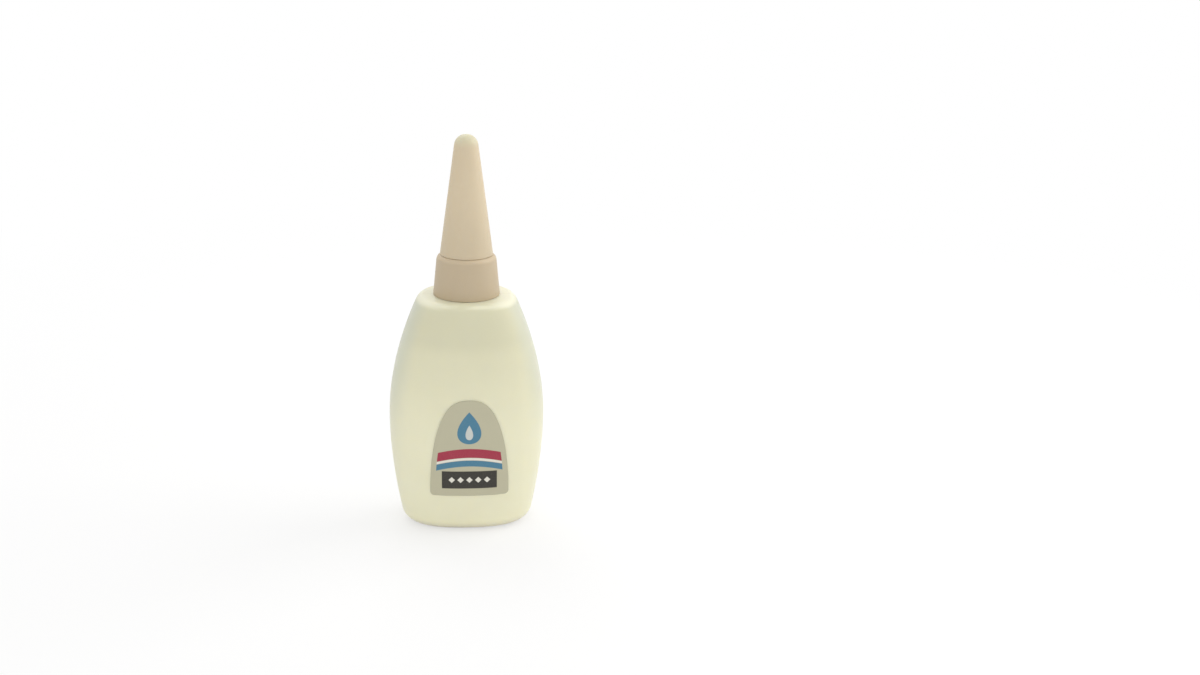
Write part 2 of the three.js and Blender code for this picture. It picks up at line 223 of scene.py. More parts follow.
class Colours(bpy.types.PropertyGroup):
    """Colours of the finishes"""

    flask_full: colour("Flask with glue", "The wall where there is glue behind it", 233, 229, 199)
    flask_empty: colour("Flask with air", "The wall where there is air behind it", 214, 211, 182)
    # Pale deck tone: partly thick milky plastic, partly painted light on the top-facing deck. It also paints
    # the shoulder ridge's highlight.
    flask_deck: colour("Flask deck", "The thick wall at the ends of the deck", 236, 233, 207)
    flask_side: colour("Flask side", "The wall at the sides, stretched thin by the mould", 201, 204, 187)
    # Base tone: the flask goes darker and greyer over its lowest few millimetres.
    flask_base: colour("Flask base", "The thick edge at the base", 220, 214, 192)
    cap: colour("Cap", "The cone of the cap", 209, 193, 164)
    cap_tip: colour("Cap tip", "The solid end of the cap", 212, 206, 176)
    # Collar: the closure plastic made darker than the cap, as painted shade from the cap above it.
    collar: colour("Collar", "The nozzle and its collar", 196, 179, 151)
    glue: colour("Glue", "The liquid", 232, 228, 200)
    foil: colour("Foil", "The membrane", 200, 201, 203)
    foam: colour("Foam", "The washer", 240, 239, 233)
    steel: colour("Steel", "The pin", 185, 188, 192)
    paper: colour("Paper", "Stock of the label", 184, 180, 155)
    ink_red: colour("Red ink", "The band on the label", 158, 44, 68)
    ink_blue: colour("Blue ink", "The drop and the narrow band on the label", 70, 122, 148)
    ink_black: colour("Black ink", "The panel on the label", 48, 46, 42)
    ink_white: colour("White ink", "The lines on the label", 222, 219, 208)
    floor: colour("Floor", "The pale floor", 244, 244, 244)


class StageSettings(bpy.types.PropertyGroup):
    """Camera and light"""

    distance: length("Distance", "From the camera to the aim point", 400 * MM)
    azimuth: angle("Azimuth", "Turn of the camera round the bottle, positive to the right", 0)
    elevation: angle("Elevation", "Height of the camera over the aim point", 17.5)
    roll: angle("Roll", "Tilt of the camera", -0.1)
    aim_height: length("Aim height", "Height of the aim point on the bottle's axis", 60 * MM)
    aim_pixel: FloatVectorProperty(
        name="Aim pixel",
        description="Where the aim point falls in the photograph",
        size=2,
        default=(466.7, 329.1),
    )
    focal_pixels: number("Focal pixels", "Focal length in pixels of the photograph", 1349.5)
    sky: number("Sky", "Brightness of the surrounding light", 0.8)
    key_power: watts("Key", "Power of the large lamp at the right", 1.42)
    top_power: watts("Top", "Power of the lamp above and behind", 0.6)
    front_power: watts("Front", "Power of the soft lamp at the front", 0.68)
    floor_glow: number("Floor glow", "Share of plain white in the floor near the bottle", 0.55)
    floor_near: length("Near floor", "Where the floor's plain white begins to gain", 120 * MM)
    floor_far: length("Far floor", "Where the floor is plain white", 450 * MM)


def sizes(group):
    return getattr(bpy.context.scene, f"glue_{group}")


# Modelling


def open_mesh(name):
    """Starts a piece in edit mode, as a mesh with nothing in it, and selects nothing else."""
    bpy.ops.object.select_all(action="DESELECT")
    bpy.ops.mesh.primitive_plane_add(size=MM)
    piece = bpy.context.active_object
    piece.name = name
    piece.data.name = name
    bpy.ops.object.mode_set(mode="EDIT")
    bpy.ops.mesh.delete(type="VERT")
    return piece


def pick(test, kind="verts"):
    """Selects the vertices, edges or faces of the mesh in hand that pass a test, and nothing else."""
    mesh = bpy.context.edit_object.data
    shape = bmesh.from_edit_mesh(mesh)
    bpy.ops.mesh.select_mode(type={"verts": "VERT", "edges": "EDGE", "faces": "FACE"}[kind])
    bpy.ops.mesh.select_all(action="DESELECT")
    for item in getattr(shape, kind):
        item.select_set(test(item))
    shape.select_flush_mode()
    bmesh.update_edit_mesh(mesh)


def is_wire(vertex):
    return not vertex.link_faces


def close_mesh(piece):
    """Joins the corners that faces share, points the faces outwards and leaves edit mode."""
    bpy.ops.mesh.select_mode(type="VERT")
    bpy.ops.mesh.select_all(action="SELECT")
    bpy.ops.mesh.remove_doubles(threshold=WELD)
    bpy.ops.mesh.normals_make_consistent(inside=False)
    bpy.ops.object.mode_set(mode="OBJECT")
    smooth(piece)


def take(piece):
    """Selects one piece and makes it the active one."""
    bpy.ops.object.select_all(action="DESELECT")
    piece.select_set(True)
    bpy.context.view_layer.objects.active = piece


def smooth(piece):
    take(piece)
    bpy.ops.object.shade_smooth_by_angle(angle=SMOOTH_ANGLE)


def apply_modifier(piece, kind, **settings):
    take(piece)
    bpy.ops.object.modifier_add(type=kind)
    modifier = piece.modifiers[-1]
    for name, value in settings.items():
        setattr(modifier, name, value)
    bpy.ops.object.modifier_apply(modifier=modifier.name)


def first_point(x, y, z):
    """Adds a lone vertex to the mesh in hand and selects it."""
    bpy.ops.mesh.select_mode(type="VERT")
    bpy.ops.mesh.primitive_plane_add(size=MM)
    bpy.ops.mesh.merge(type="CENTER")
    bpy.ops.transform.translate(value=(x, y, z))


def extrude(x, y, z):
    """Extrudes the selection by one step."""
    bpy.ops.mesh.extrude_region_move(TRANSFORM_OT_translate={"value": (x, y, z)})


def scale(across, deep, centre=ORIGIN):
    """Scales the selection in width and depth about a point."""
    bpy.ops.transform.resize(value=(across, deep, 1), center_override=centre)


def unite(piece, addition):
    """Fuses another closed mesh into a piece."""
    apply_modifier(piece, "BOOLEAN", operation="UNION", solver="EXACT", object=addition)
    bpy.data.objects.remove(addition)
    smooth(piece)


def draw_profile(corners):
    """Draws a line of (radius, height, rounding) corners in the XZ plane, as wire of the mesh in hand."""
    radius, height, _ = corners[0]
    first_point(radius, 0, height)
    for here, there in zip(corners, corners[1:]):
        extrude(there[0] - here[0], 0, there[1] - here[1])
    pick(is_wire)
    bpy.ops.mesh.remove_doubles(threshold=WELD)
    for radius, height, rounding in corners:
        if rounding:
            round_corner(Vector((radius, 0, height)), rounding)


def round_corner(corner, rounding):
    segments = sizes("closure").round_segments
    if rounding >= sizes("closure").cap_dome:
        segments = sizes("closure").dome_segments
    pick(lambda vertex: is_wire(vertex) and (vertex.co - corner).length < TOUCH)
    bpy.ops.mesh.bevel(affect="VERTICES", offset_type="ABSOLUTE", offset=rounding, segments=segments)


def spin_profile():
    """Spins the wire edges of the mesh in hand round the Z axis."""
    pick(is_wire)
    bpy.ops.mesh.spin(steps=sizes("closure").sides, angle=math.tau, center=ORIGIN, axis=(0, 0, 1))


def turned(name, corners):
    """A closed piece turned from one profile."""
    piece = open_mesh(name)
    draw_profile(corners)
    spin_profile()
    close_mesh(piece)
    return piece


def thread_ridge(root, crest, start, turns):
    """A helical ridge that rises from its wall at both ends, made by extruding one section step by step."""
    neck = sizes("neck")
    sunk = root + math.copysign(neck.sink, root - crest)
    buried = (root + sunk) / 2 / crest
    foot = neck.pitch / 4
    top = neck.crest / 2
    piece = open_mesh("thread_ridge")
    draw_profile([(sunk, -foot, 0), (sunk, foot, 0), (crest, top, 0), (crest, -top, 0), (sunk, -foot, 0)])
    pick(is_wire)
    bpy.ops.mesh.edge_face_add()
    steps = round(turns * neck.steps)
    reach = [1 + (buried - 1) * max(0, 1 - min(i, steps - i) / neck.fade_steps) for i in range(steps + 1)]
    bpy.ops.transform.translate(value=(0, 0, start))
    scale(reach[0], reach[0])
    for here, there in zip(reach, reach[1:]):
        extrude(0, 0, neck.pitch / neck.steps)
        bpy.ops.transform.rotate(value=-math.tau / neck.steps, orient_axis="Z", center_override=ORIGIN)
        scale(there / here, there / here)
    close_mesh(piece)
    return piece


# Form of the flask


def wall_half(z, base, belly, shoulder):
    """Half the flask's width or depth at a height: full at the belly, less at the base and the shoulder."""
    flask = sizes("flask")
    below = z < flask.belly_height
    end = base if below else shoulder
    reach = flask.belly_height - z if below else z - flask.belly_height
    span = flask.belly_height if below else flask.shoulder_height - flask.belly_height
    power = flask.lower_power if below else flask.upper_power
    return (belly - (belly - end) * (reach / span) ** power) / 2


def oval(z, inset):
    """One ring of the flask's squared oval, as its height, half width and half depth."""
    flask = sizes("flask")
    collar_width = NOZZLE_HIGH.x - NOZZLE_LOW.x
    half_width = wall_half(z, flask.base_width, flask.belly_width, collar_width + 2 * flask.side_ledge)
    half_depth = wall_half(z, flask.base_depth, flask.belly_depth, collar_width + 2 * flask.front_ledge)
    return z, half_width - inset, half_depth - inset


def base_rings(floor, corner, inset, top):
    """Rings from a floor, round the lower corner and up the wall to a height."""
    flask = sizes("flask")
    rings = []
    for i in range(flask.corner_rings):
        turn = QUARTER_TURN * i / flask.corner_rings
        rings.append(oval(floor + corner * (1 - math.cos(turn)), inset + corner * (1 - math.sin(turn))))
    bottom = floor + corner
    for i in range(flask.wall_rings + 1):
        rings.append(oval(bottom + (top - bottom) * i / flask.wall_rings, inset))
    return rings


def shoulder_rings(deck, corner, inset):
    """Rings from the end of the wall over the shoulder to the deck."""
    rings = sizes("flask").corner_rings
    turns = [QUARTER_TURN * (i + 1) / rings for i in range(rings)]
    return [
        oval(deck - corner * (1 - math.sin(turn)), inset + corner * (1 - math.cos(turn)))
        for turn in turns
    ]


def loft_ovals(rings):
    """Extrudes one oval face through rings of the mesh in hand, and leaves the last face selected."""
    flask = sizes("flask")
    z, half_width, half_depth = rings[0]
    bpy.ops.mesh.select_mode(type="VERT")
    bpy.ops.mesh.primitive_plane_add(size=2)
    profile = 2 ** (-2 / flask.section_power)
    bpy.ops.mesh.bevel(
        affect="VERTICES", offset_type="PERCENT", offset_pct=50, segments=flask.oval_segments, profile=profile
    )
    pick(lambda vertex: max(abs(vertex.co.x), abs(vertex.co.y)) > 2 * flask.belly_width)
    bpy.ops.mesh.remove_doubles(threshold=TOUCH)
    scale(half_width, half_depth)
    bpy.ops.transform.translate(value=(0, 0, z))
    split_seam(z, half_depth)
    for (z, half_width, half_depth), (above, wider, deeper) in zip(rings, rings[1:]):
        extrude(0, 0, above - z)
        scale(wider / half_width, deeper / half_depth)


def split_seam(z, half_depth):
    """Splits the oval's two side points in three, for the parting line, and selects the oval."""
    flask = sizes("flask")

    def in_oval(vertex):
        return abs(vertex.co.z - z) < TOUCH and len(vertex.link_faces) == 1

    def at_side(vertex):
        return in_oval(vertex) and abs(vertex.co.y) < TOUCH

    pick(at_side)
    width = flask.seam_width * half_depth / (flask.belly_depth / 2)
    bpy.ops.mesh.bevel(affect="VERTICES", offset_type="ABSOLUTE", offset=width, segments=2)
    pick(lambda face: len(face.verts) > 4 and abs(face.calc_center_median().z - z) < TOUCH, "faces")


def bridge(z):
    """Joins the two open rings of the mesh in hand that lie at a height."""
    reach = 2 * sizes("flask").deck_crown
    pick(lambda edge: edge.is_boundary and all(abs(v.co.z - z) < reach for v in edge.verts), "edges")
    bpy.ops.mesh.bridge_edge_loops()


def on_oval(ring):
    """A test for the edges of one ring of the flask."""
    z, half_width, half_depth = ring
    power = sizes("flask").section_power

    def near(vertex):
        across = abs(vertex.co.x / half_width) ** power + abs(vertex.co.y / half_depth) ** power
        return abs(vertex.co.z - z) < TOUCH and abs(across - 1) < OVAL_TOLERANCE

    return lambda edge: all(near(vertex) for vertex in edge.verts)


# Finishes


class Value:
    """A shader socket that Python's operators work on, each by adding a Math node."""

    def __init__(self, finish, socket):
        self.finish = finish
        self.socket = socket

    def math(self, operation, *others):
        sockets = dict(enumerate((self, *others)))
        return self.finish.node("ShaderNodeMath", {"operation": operation}, sockets)

    def reflected(self, operation, other):
        return self.finish.node("ShaderNodeMath", {"operation": operation}, {0: other, 1: self})

    def __add__(self, other):
        return self.math("ADD", other)

    def __sub__(self, other):
        return self.math("SUBTRACT", other)

    def __mul__(self, other):
        return self.math("MULTIPLY", other)

    def __truediv__(self, other):
        return self.math("DIVIDE", other)

    def __pow__(self, other):
        return self.math("POWER", other)

    def __rsub__(self, other):
        return self.reflected("SUBTRACT", other)

    def __abs__(self):
        return self.math("ABSOLUTE")

    __radd__ = __add__
    __rmul__ = __mul__

    def least(self, other):
        return self.math("MINIMUM", other)

    def most(self, other):
        return self.math("MAXIMUM", other)

    def between(self, low, high):
        """Goes from low to high as the value goes from 0 to 1."""
        return self * (high - low) + low

    def rise(self, low, high, bottom=0.0, top=1.0):
        """Goes smoothly from bottom to top as the value goes from low to high."""
        settings = {"interpolation_type": "SMOOTHSTEP"}
        sockets = {"Value": self, "From Min": low, "From Max": high, "To Min": bottom, "To Max": top}
        return self.finish.node("ShaderNodeMapRange", settings, sockets)


# Sockets of a Mix node that mixes colours
MIX_FACTOR, MIX_FIRST, MIX_SECOND, MIX_RESULT = 0, 6, 7, 2


class Finish:
    """A node tree that is built up by short calls."""

    def __init__(self, tree):
        self.tree = tree
        tree.nodes.clear()

    def node(self, kind, settings=None, sockets=None, output=0):
        """Adds a node, makes its settings, then sets or links its sockets, and returns one of its outputs."""
        node = self.tree.nodes.new(kind)
        for name, value in (settings or {}).items():
            setattr(node, name, value)
        for name, value in (sockets or {}).items():
            if isinstance(value, Value):
                self.tree.links.new(value.socket, node.inputs[name])
            else:
                node.inputs[name].default_value = value
        return Value(self, node.outputs[output])

    def place(self):
        """Object coordinates, as one vector and as its three numbers."""
        vector = self.node("ShaderNodeTexCoord", output="Object")
        parts = [self.node("ShaderNodeSeparateXYZ", {}, {0: vector}, axis) for axis in "XYZ"]
        return vector, *parts

    def noise(self, vector, size, detail=2.0, stretch=(1, 1, 1)):
        """Noise from 0 to 1 whose patches are about a size across, drawn out along the axes by stretch."""
        scale = [1 / (size * share) for share in stretch]
        scaled = self.node("ShaderNodeVectorMath", {"operation": "MULTIPLY"}, {0: vector, 1: scale})
        return self.node("ShaderNodeTexNoise", {}, {"Vector": scaled, "Scale": 1.0, "Detail": detail})

    def tone(self, value):
        """A colour as a socket takes it: linked, or opaque."""
        return value if isinstance(value, Value) else (*value, 1)

    def mix(self, first, second, factor):
        """Goes from one colour to another as the factor goes from 0 to 1."""
        sockets = {MIX_FACTOR: factor, MIX_FIRST: self.tone(first), MIX_SECOND: self.tone(second)}
        return self.node("ShaderNodeMix", {"data_type": "RGBA"}, sockets, MIX_RESULT)

    def shade(self, tone, factor):
        """Multiplies a colour by a number that changes over the surface."""
        grey = self.node("ShaderNodeCombineColor", {}, {0: factor, 1: factor, 2: factor})
        settings = {"data_type": "RGBA", "blend_type": "MULTIPLY"}
        sockets = {MIX_FACTOR: 1.0, MIX_FIRST: self.tone(tone), MIX_SECOND: grey}
        return self.node("ShaderNodeMix", settings, sockets, MIX_RESULT)

    def bump(self, *layers):
        """One normal from layers of (height from 0 to 1, depth in metres)."""
        total = sum(height * depth for height, depth in layers)
        return self.node("ShaderNodeBump", {}, {"Height": total, "Distance": 1.0})

    def surface(self, **sockets):
        """Ends the tree in one shader. Names have underscores for spaces."""
        named = {name.replace("_", " "): value for name, value in sockets.items()}
        shader = self.node("ShaderNodeBsdfPrincipled", {}, named)
        self.output(shader)

    def output(self, shader, kind="ShaderNodeOutputMaterial"):
        end = self.tree.nodes.new(kind)
        self.tree.links.new(shader.socket, end.inputs["Surface"])


def new_finish(piece, name):
    """Gives a piece a new material and returns its tree."""
    material = bpy.data.materials.new(name)
    material.use_nodes = True
    piece.data.materials.clear()
    piece.data.materials.append(material)
    return Finish(material.node_tree)


def flask_plastic(piece):
    """Milky polyethylene: paler where the glue backs it, a little wavy from the mould, and satin."""
    tones = sizes("colours")
    flask = sizes("flask")
    finish = new_finish(piece, "flask_plastic")
    vector, x, y, z = finish.place()
    cloud = finish.noise(vector, size=14 * MM, detail=3)
    grain = finish.noise(vector, size=0.5 * MM)
    waves = finish.noise(vector, size=9 * MM, detail=1, stretch=(1, 1, 2))

    fill_waver = 1.5 * MM
    fill_fade = 2.8 * MM
    fill_depth = 30 * MM
    line_share = 0.36
    below = FILL_HIGH.z + (cloud - 0.5) * fill_waver - z
    full = below.rise(-fill_fade, fill_fade, top=line_share) + below.rise(0, fill_depth, top=1 - line_share)

    deck = flask.shoulder_height
    narrowing = ((z - flask.belly_height) / (deck - flask.belly_height)).most(0) ** flask.upper_power
    drawn_in = (flask.belly_width - NOZZLE_HIGH.x + NOZZLE_LOW.x) / 2 - flask.side_ledge
    side = abs(x) / (flask.belly_width / 2 - narrowing * drawn_in)
    thin = side.rise(0.72, 1) * z.rise(25 * MM, 50 * MM, bottom=0.2, top=0.75)
    # Deck's ends paler: partly thick plastic, partly painted light. The front and back by the collar stay
    # darker, as painted shade from the collar.
    thick_and_lit_deck = z.rise(deck - 2.2 * MM, deck - 0.4 * MM) * abs(x).rise(4 * MM, 11 * MM, bottom=0.2)
    # Painted highlight: a pale band along the shoulder's front edge, broken up by the cloud noise.
    ridge = z.rise(deck - 1.4 * MM, deck - 0.8 * MM) * z.rise(deck - 0.5 * MM, deck, bottom=1, top=0)
    ridge = ridge * cloud.rise(0.4, 0.6, top=0.7)
    seam = abs(y).rise(0.1 * MM, 0.4 * MM, bottom=0.05, top=0) * z.rise(2 * MM, 5 * MM)
    # Darker and greyer towards the bottom edge.
    heel = z.rise(0.5 * MM, 3.5 * MM, bottom=0.9, top=0)

    tone = finish.mix(tones.flask_empty, tones.flask_full, full)
    tone = finish.mix(tone, tones.flask_side, thin)
    tone = finish.mix(tone, tones.flask_deck, thick_and_lit_deck.most(ridge))
    tone = finish.mix(tone, tones.flask_base, heel)
    finish.surface(
        Base_Color=finish.shade(tone, cloud.between(0.97, 1.03) - seam),
        Roughness=cloud.between(0.36, 0.48),
        Normal=finish.bump((waves, 0.12 * MM), (grain, 0.004 * MM)),
        Subsurface_Weight=0.5,
        Subsurface_Radius=(1.0, 0.9, 0.65),
        Subsurface_Scale=2 * MM,
        Specular_IOR_Level=0.4,
    )


def closure_plastic(piece, name, body, tip):
    """Beige moulded plastic with a fine grain.

    It is paler at a solid end. It has a painted highlight on the collar's rounded top edge, and painted shade
    that darkens the cap towards its foot and the collar under it.
    """
    finish = new_finish(piece, name)
    vector, _, _, z = finish.place()
    cloud = finish.noise(vector, size=6 * MM, detail=3, stretch=(1, 1, 2.5))
    grain = finish.noise(vector, size=0.35 * MM)
    foot = CAP_LOW.z
    solid = z.rise(CAP_HIGH.z - 4 * MM, CAP_HIGH.z - 0.5 * MM)
    # Painted shade: darker towards the cap's foot and over the collar under the cap.
    painted_foot_shade = z.rise(foot, foot + 20 * MM, bottom=0.075, top=0)
    # Painted highlight: a pale line along the collar's rounded top edge, just under the cap.
    rim = z.rise(foot - 1.8 * MM, foot - 0.7 * MM) * z.rise(foot - 0.3 * MM, foot, bottom=0.12, top=0)
    light = cloud.between(0.965, 1.015) + grain * 0.02 - painted_foot_shade + rim
    finish.surface(
        Base_Color=finish.shade(finish.mix(body, tip, solid), light),
        Roughness=cloud.between(0.42, 0.54),
        Normal=finish.bump((cloud, 0.05 * MM), (grain, 0.006 * MM)),
        Subsurface_Weight=0.2,
        Subsurface_Radius=(1.0, 0.8, 0.5),
        Subsurface_Scale=0.8 * MM,
        Specular_IOR_Level=0.4,
    )


def glue_liquid(piece):
    """Clear thin liquid, hidden behind the wall, with a trace of haze."""
    finish = new_finish(piece, "glue_liquid")
    vector, *_ = finish.place()
    haze = finish.noise(vector, size=12 * MM)
    finish.surface(
        Base_Color=finish.shade(sizes("colours").glue, haze.between(0.95, 1.05)),
        Roughness=haze.between(0.04, 0.08),
        IOR=1.45,
    )


def pressed_foil(piece):
    """Thin aluminium with fine rolling lines and a slight crumple."""
    finish = new_finish(piece, "pressed_foil")
    vector, *_ = finish.place()
    lines = finish.noise(vector, size=0.12 * MM, stretch=(40, 1, 1))
    crumple = finish.noise(vector, size=2.5 * MM, detail=3)
    finish.surface(
        Base_Color=finish.shade(sizes("colours").foil, lines.between(0.92, 1.02)),
        Metallic=1.0,
        Roughness=lines.between(0.28, 0.42),
        Normal=finish.bump((crumple, 0.05 * MM), (lines, 0.002 * MM)),
    )


def closed_foam(piece):
    """White closed-cell foam."""
    finish = new_finish(piece, "closed_foam")
    vector, *_ = finish.place()
    cell_size = 0.45 * MM
    cells = finish.node("ShaderNodeTexVoronoi", {}, {"Vector": vector, "Scale": 1 / cell_size})
    finish.surface(
        Base_Color=finish.shade(sizes("colours").foam, cells.between(0.9, 1)),
        Roughness=cells.between(0.85, 0.75),
        Normal=finish.bump((cells, 0.05 * MM)),
    )


def drawn_steel(piece):
    """Steel wire with drawing lines along it."""
    finish = new_finish(piece, "drawn_steel")
    vector, *_ = finish.place()
    lines = finish.noise(vector, size=0.05 * MM, stretch=(1, 1, 60))
    finish.surface(
        Base_Color=finish.shade(sizes("colours").steel, lines.between(0.9, 1.02)),
        Metallic=1.0,
        Roughness=lines.between(0.22, 0.36),
        Normal=finish.bump((lines, 0.002 * MM)),
    )


# Print on the label, in millimetres up from its lower edge and out from its middle
RED_BAND = (12.4, 15.2)
WHITE_LINE = (11.6, 12.3)
BLUE_BAND = (9.6, 11.5)
BAND_BOW = 0.016
PRINT_MARGIN = 1.5
PRINT_EDGE = 0.07
# Bottom, height and half width
DROP = (16.7, 10.0, 3.5)
DROP_LIGHT = (18.0, 4.6, 1.1)
DROP_LIGHT_COVER = 0.75
DROP_PEAK = 2 / (3 * math.sqrt(3))
PANEL = (2.4, 8.0)
PANEL_HALF = 8.1
DIAMOND_PITCH = 2.6
DIAMOND_HEIGHT = 5.2
DIAMOND_REACH = 0.95
DIAMOND_ROW_HALF = 6.6


def printed_label(piece):
    """Satin paper with a drop over curved bands and a dark panel."""
    tones = sizes("colours")
    label = sizes("label")
    finish = new_finish(piece, "printed_label")
    vector, x, _, z = finish.place()
    half = (LABEL_HIGH.x - LABEL_LOW.x) / 2 / MM
    height = (LABEL_HIGH.z - LABEL_LOW.z) / MM
    middle = (LABEL_HIGH.x + LABEL_LOW.x) / 2
    across = abs((x - middle) / MM)
    up = (z - LABEL_LOW.z) / MM

    def inside(distance):
        """1 where a distance in millimetres is above zero, with a slightly soft edge."""
        return distance.rise(-PRINT_EDGE, PRINT_EDGE)

    def band(value, low, high):
        return inside(value - low) * inside(high - value)

    def drop(bottom, tall, width):
        """A drop that is widest a third of the way up."""
        share = ((up - bottom) / tall).least(1).most(0)
        reach = share ** 0.5 * (1 - share) * (width / DROP_PEAK)
        return inside(reach - across) * band(up, bottom, bottom + tall)

    fibres = finish.noise(vector, size=0.6 * MM, detail=4, stretch=(2.5, 1, 1))
    mottle = finish.noise(vector, size=5 * MM, detail=3)
    speckle = finish.noise(vector, size=0.25 * MM)
    arch = half * (1 - (up / height).most(0) ** label.arch_power).most(0) ** label.arch_ease
    in_field = inside((arch - across).least(up) - PRINT_MARGIN)
    bow = up + across * across * BAND_BOW
    beside = abs((across / DIAMOND_PITCH + 0.5).math("FRACT") - 0.5) * DIAMOND_PITCH
    diamond = beside + abs(up - DIAMOND_HEIGHT)
    inks = [
        (tones.ink_red, band(bow, *RED_BAND) * in_field),
        (tones.ink_white, band(bow, *WHITE_LINE) * in_field),
        (tones.ink_blue, band(bow, *BLUE_BAND) * in_field),
        (tones.ink_blue, drop(*DROP)),
        (tones.ink_white, drop(*DROP_LIGHT) * DROP_LIGHT_COVER),
        (tones.ink_black, band(up, *PANEL) * inside(PANEL_HALF - across)),
        (tones.ink_white, inside(DIAMOND_REACH - diamond) * inside(DIAMOND_ROW_HALF - across)),
    ]
    tone = finish.shade(tones.paper, mottle.between(0.96, 1.01) + fibres * 0.03)
    worn = speckle.between(0.9, 1.06)
    covered = 0
    for ink, mask in inks:
        tone = finish.mix(tone, ink, (mask * worn).least(1))
        covered = mask.most(covered)
    finish.surface(
        Base_Color=tone,
        Roughness=fibres.between(0.55, 0.67) - covered * 0.12,
        Normal=finish.bump((fibres, 0.012 * MM), (covered, 0.006 * MM)),
        Specular_IOR_Level=0.35,
    )


def dress(piece, body, slot, *nodes):
    """Attaches a piece to the body it moves with and hides the nodes of the frame that it stands for. Its
    slot is not used.
    """
    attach(piece, body)
    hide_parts(*nodes)


# Pieces


class MakeFlask(bpy.types.Operator):
    """Model the hollow flask with its screw neck, parting line and pinched base"""

    bl_idname = "glue_bottle.make_flask"
    bl_label = "Flask"

    def execute(self, context):
        flask = sizes("flask")
        piece = open_mesh("flask")
        self.add_skin(flask)
        self.add_cavity(flask)
        self.add_neck(flask)
        bridge(flask.shoulder_height)
        bridge(flask.shoulder_height - flask.wall)
        close_mesh(piece)
        neck = sizes("neck")
        start = flask.shoulder_height + neck.start
        unite(piece, thread_ridge(neck.radius, neck.radius + neck.depth, start, neck.neck_turns))
        unite(piece, self.pinch_line(flask))
        flask_plastic(piece)
        dress(piece, "bottle", "bottle_plastic", "bottle_body")
        return {"FINISHED"}

    def add_skin(self, flask):
        """Outer skin, from the hollow under the base to the deck, with the parting line raised on it."""
        foot = flask.base_corner + flask.foot_width
        deck = flask.shoulder_height
        inset = flask.seam_height
        hollow = [oval(flask.push_up_depth, foot + flask.push_up_draft), oval(0, foot)]
        wall = base_rings(0, flask.base_corner, inset, deck - flask.shoulder_corner)
        loft_ovals(hollow + wall + shoulder_rings(deck, flask.shoulder_corner, inset))
        bpy.ops.mesh.delete(type="ONLY_FACE")
        low = flask.base_corner / 3
        high = deck - flask.shoulder_corner / 3
        pick(lambda vertex: abs(vertex.co.y) < TOUCH and low < vertex.co.z < high)
        bpy.ops.mesh.normals_make_consistent(inside=False)
        bpy.ops.transform.shrink_fatten(value=flask.seam_height)
        for ring in hollow:
            pick(on_oval(ring), "edges")
            bpy.ops.mesh.bevel(offset=flask.foot_round, segments=flask.foot_segments)

    def add_cavity(self, flask):
        """Inner skin, from the floor to under the deck."""
        base_corner = flask.base_corner - flask.wall
        shoulder_corner = flask.shoulder_corner - flask.wall
        ceiling = flask.shoulder_height - flask.wall
        floor = flask.push_up_depth + flask.wall
        wall = base_rings(floor, base_corner, flask.wall, ceiling - shoulder_corner)
        loft_ovals(wall + shoulder_rings(ceiling, shoulder_corner, flask.wall))
        bpy.ops.mesh.delete(type="ONLY_FACE")

    def add_neck(self, flask):
        """Neck, from its foot on the deck over the rim and down the bore."""
        neck = sizes("neck")
        deck = flask.shoulder_height + flask.deck_crown
        ceiling = deck - flask.wall
        bore = neck.radius - neck.wall
        fillet = neck.fillet * neck.fillet_share
        draw_profile([
            (neck.radius + neck.fillet, deck, 0),
            (neck.radius, deck, fillet),
            (neck.radius, FLASK_HIGH.z, neck.rim_round),
            (bore, FLASK_HIGH.z, neck.rim_round),
            (bore, ceiling, fillet),
            (bore + neck.fillet, ceiling, 0),
        ])
        spin_profile()

    def pinch_line(self, flask):
        """The line where the mould pinched the base shut."""
        piece = open_mesh("pinch_line")
        bpy.ops.mesh.primitive_plane_add(size=1)
        scale(flask.pinch_length, flask.pinch_width)
        bpy.ops.transform.translate(value=(0, 0, flask.push_up_depth + flask.wall / 2))
        drop = flask.pinch_height + flask.wall / 2
        extrude(0, 0, -drop)
        scale(flask.pinch_end, flask.pinch_edge)
        close_mesh(piece)
        return piece


class MakeGlue(bpy.types.Operator):
    """Model the glue inside the flask, with its surface turned up at the wall"""

    bl_idname = "glue_bottle.make_glue"
    bl_label = "Glue"

    def execute(self, context):
        flask = sizes("flask")
        inset = flask.wall + flask.fill_clearance
        piece = open_mesh("glue_fill")
        rings = base_rings(FILL_LOW.z, flask.base_corner - inset, inset, FILL_HIGH.z)
        for i in range(flask.meniscus_rings):
            share = (i + 1) / flask.meniscus_rings
            drop = flask.meniscus * (1 - (1 - share) ** 2)
            rings.append(oval(FILL_HIGH.z - drop, inset + 2 * flask.meniscus * share))
        loft_ovals(rings)
        close_mesh(piece)
        glue_liquid(piece)
        dress(piece, "bottle", "adhesive", "adhesive_fill")
        return {"FINISHED"}


class MakeFoil(bpy.types.Operator):
    """Model the foil membrane on the rim"""

    bl_idname = "glue_bottle.make_foil"
    bl_label = "Foil"

    def execute(self, context):
        neck = sizes("neck")
        radius = FOIL_HIGH.x
        weld = neck.radius - neck.wall
        thin = FOIL_HIGH.z - FOIL_LOW.z
        dip = thin / 2
        piece = turned("foil_membrane", [
            (0, FOIL_LOW.z - dip, 0),
            (weld - 2 * thin, FOIL_LOW.z - dip, thin),
            (weld, FOIL_LOW.z, thin),
            (radius, FOIL_LOW.z, thin / 4),
            (radius, FOIL_HIGH.z, thin / 4),
            (weld, FOIL_HIGH.z, thin),
            (weld - 2 * thin, FOIL_HIGH.z - dip, thin),
            (0, FOIL_HIGH.z - dip, 0),
        ])
        pressed_foil(piece)
        dress(piece, "bottle", "foil", "foil_seal")
        return {"FINISHED"}


